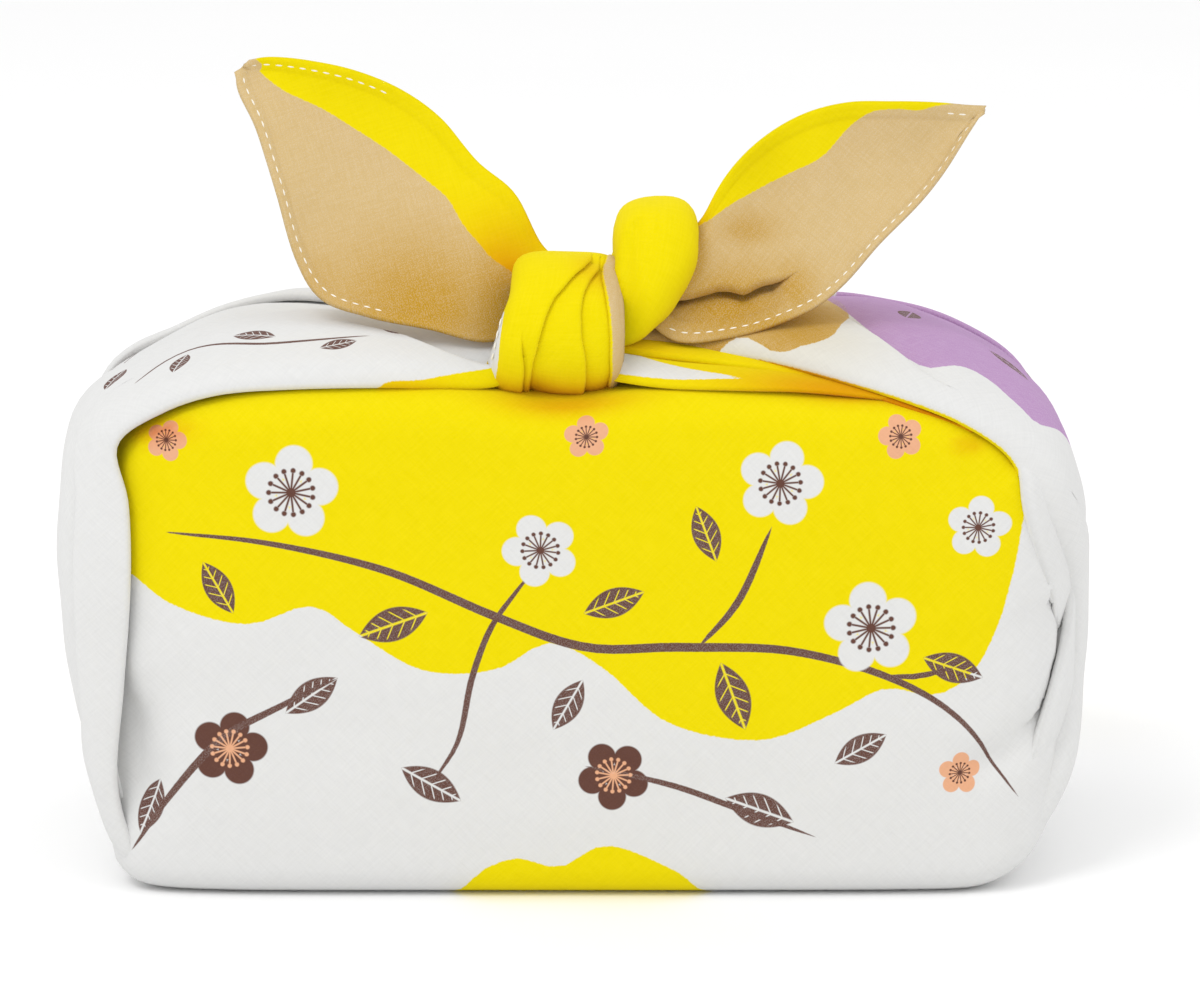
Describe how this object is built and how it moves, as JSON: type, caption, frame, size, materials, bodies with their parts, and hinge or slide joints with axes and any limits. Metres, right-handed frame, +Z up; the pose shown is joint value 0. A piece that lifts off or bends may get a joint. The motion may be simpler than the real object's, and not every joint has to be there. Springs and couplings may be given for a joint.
{
  "type": "furoshiki wrap",
  "caption": "Square cotton wrapping cloth folded round a box-shaped hollow, its side corners gathered over the top and tied in a knot with two upright free ends.",
  "frame": {"origin": "middle of the base, on the surface that the wrap stands on", "axes": "+Z up, +X to the right of the front face, +Y from the front to the back"},
  "size_m": [0.2339, 0.132, 0.1816],
  "materials": {
    "cotton_cloth": "matt plain-weave cotton, printed"
  },
  "bodies": {
    "root": {"furoshiki_cloth": "cotton_cloth"}
  },
  "joints": []
}
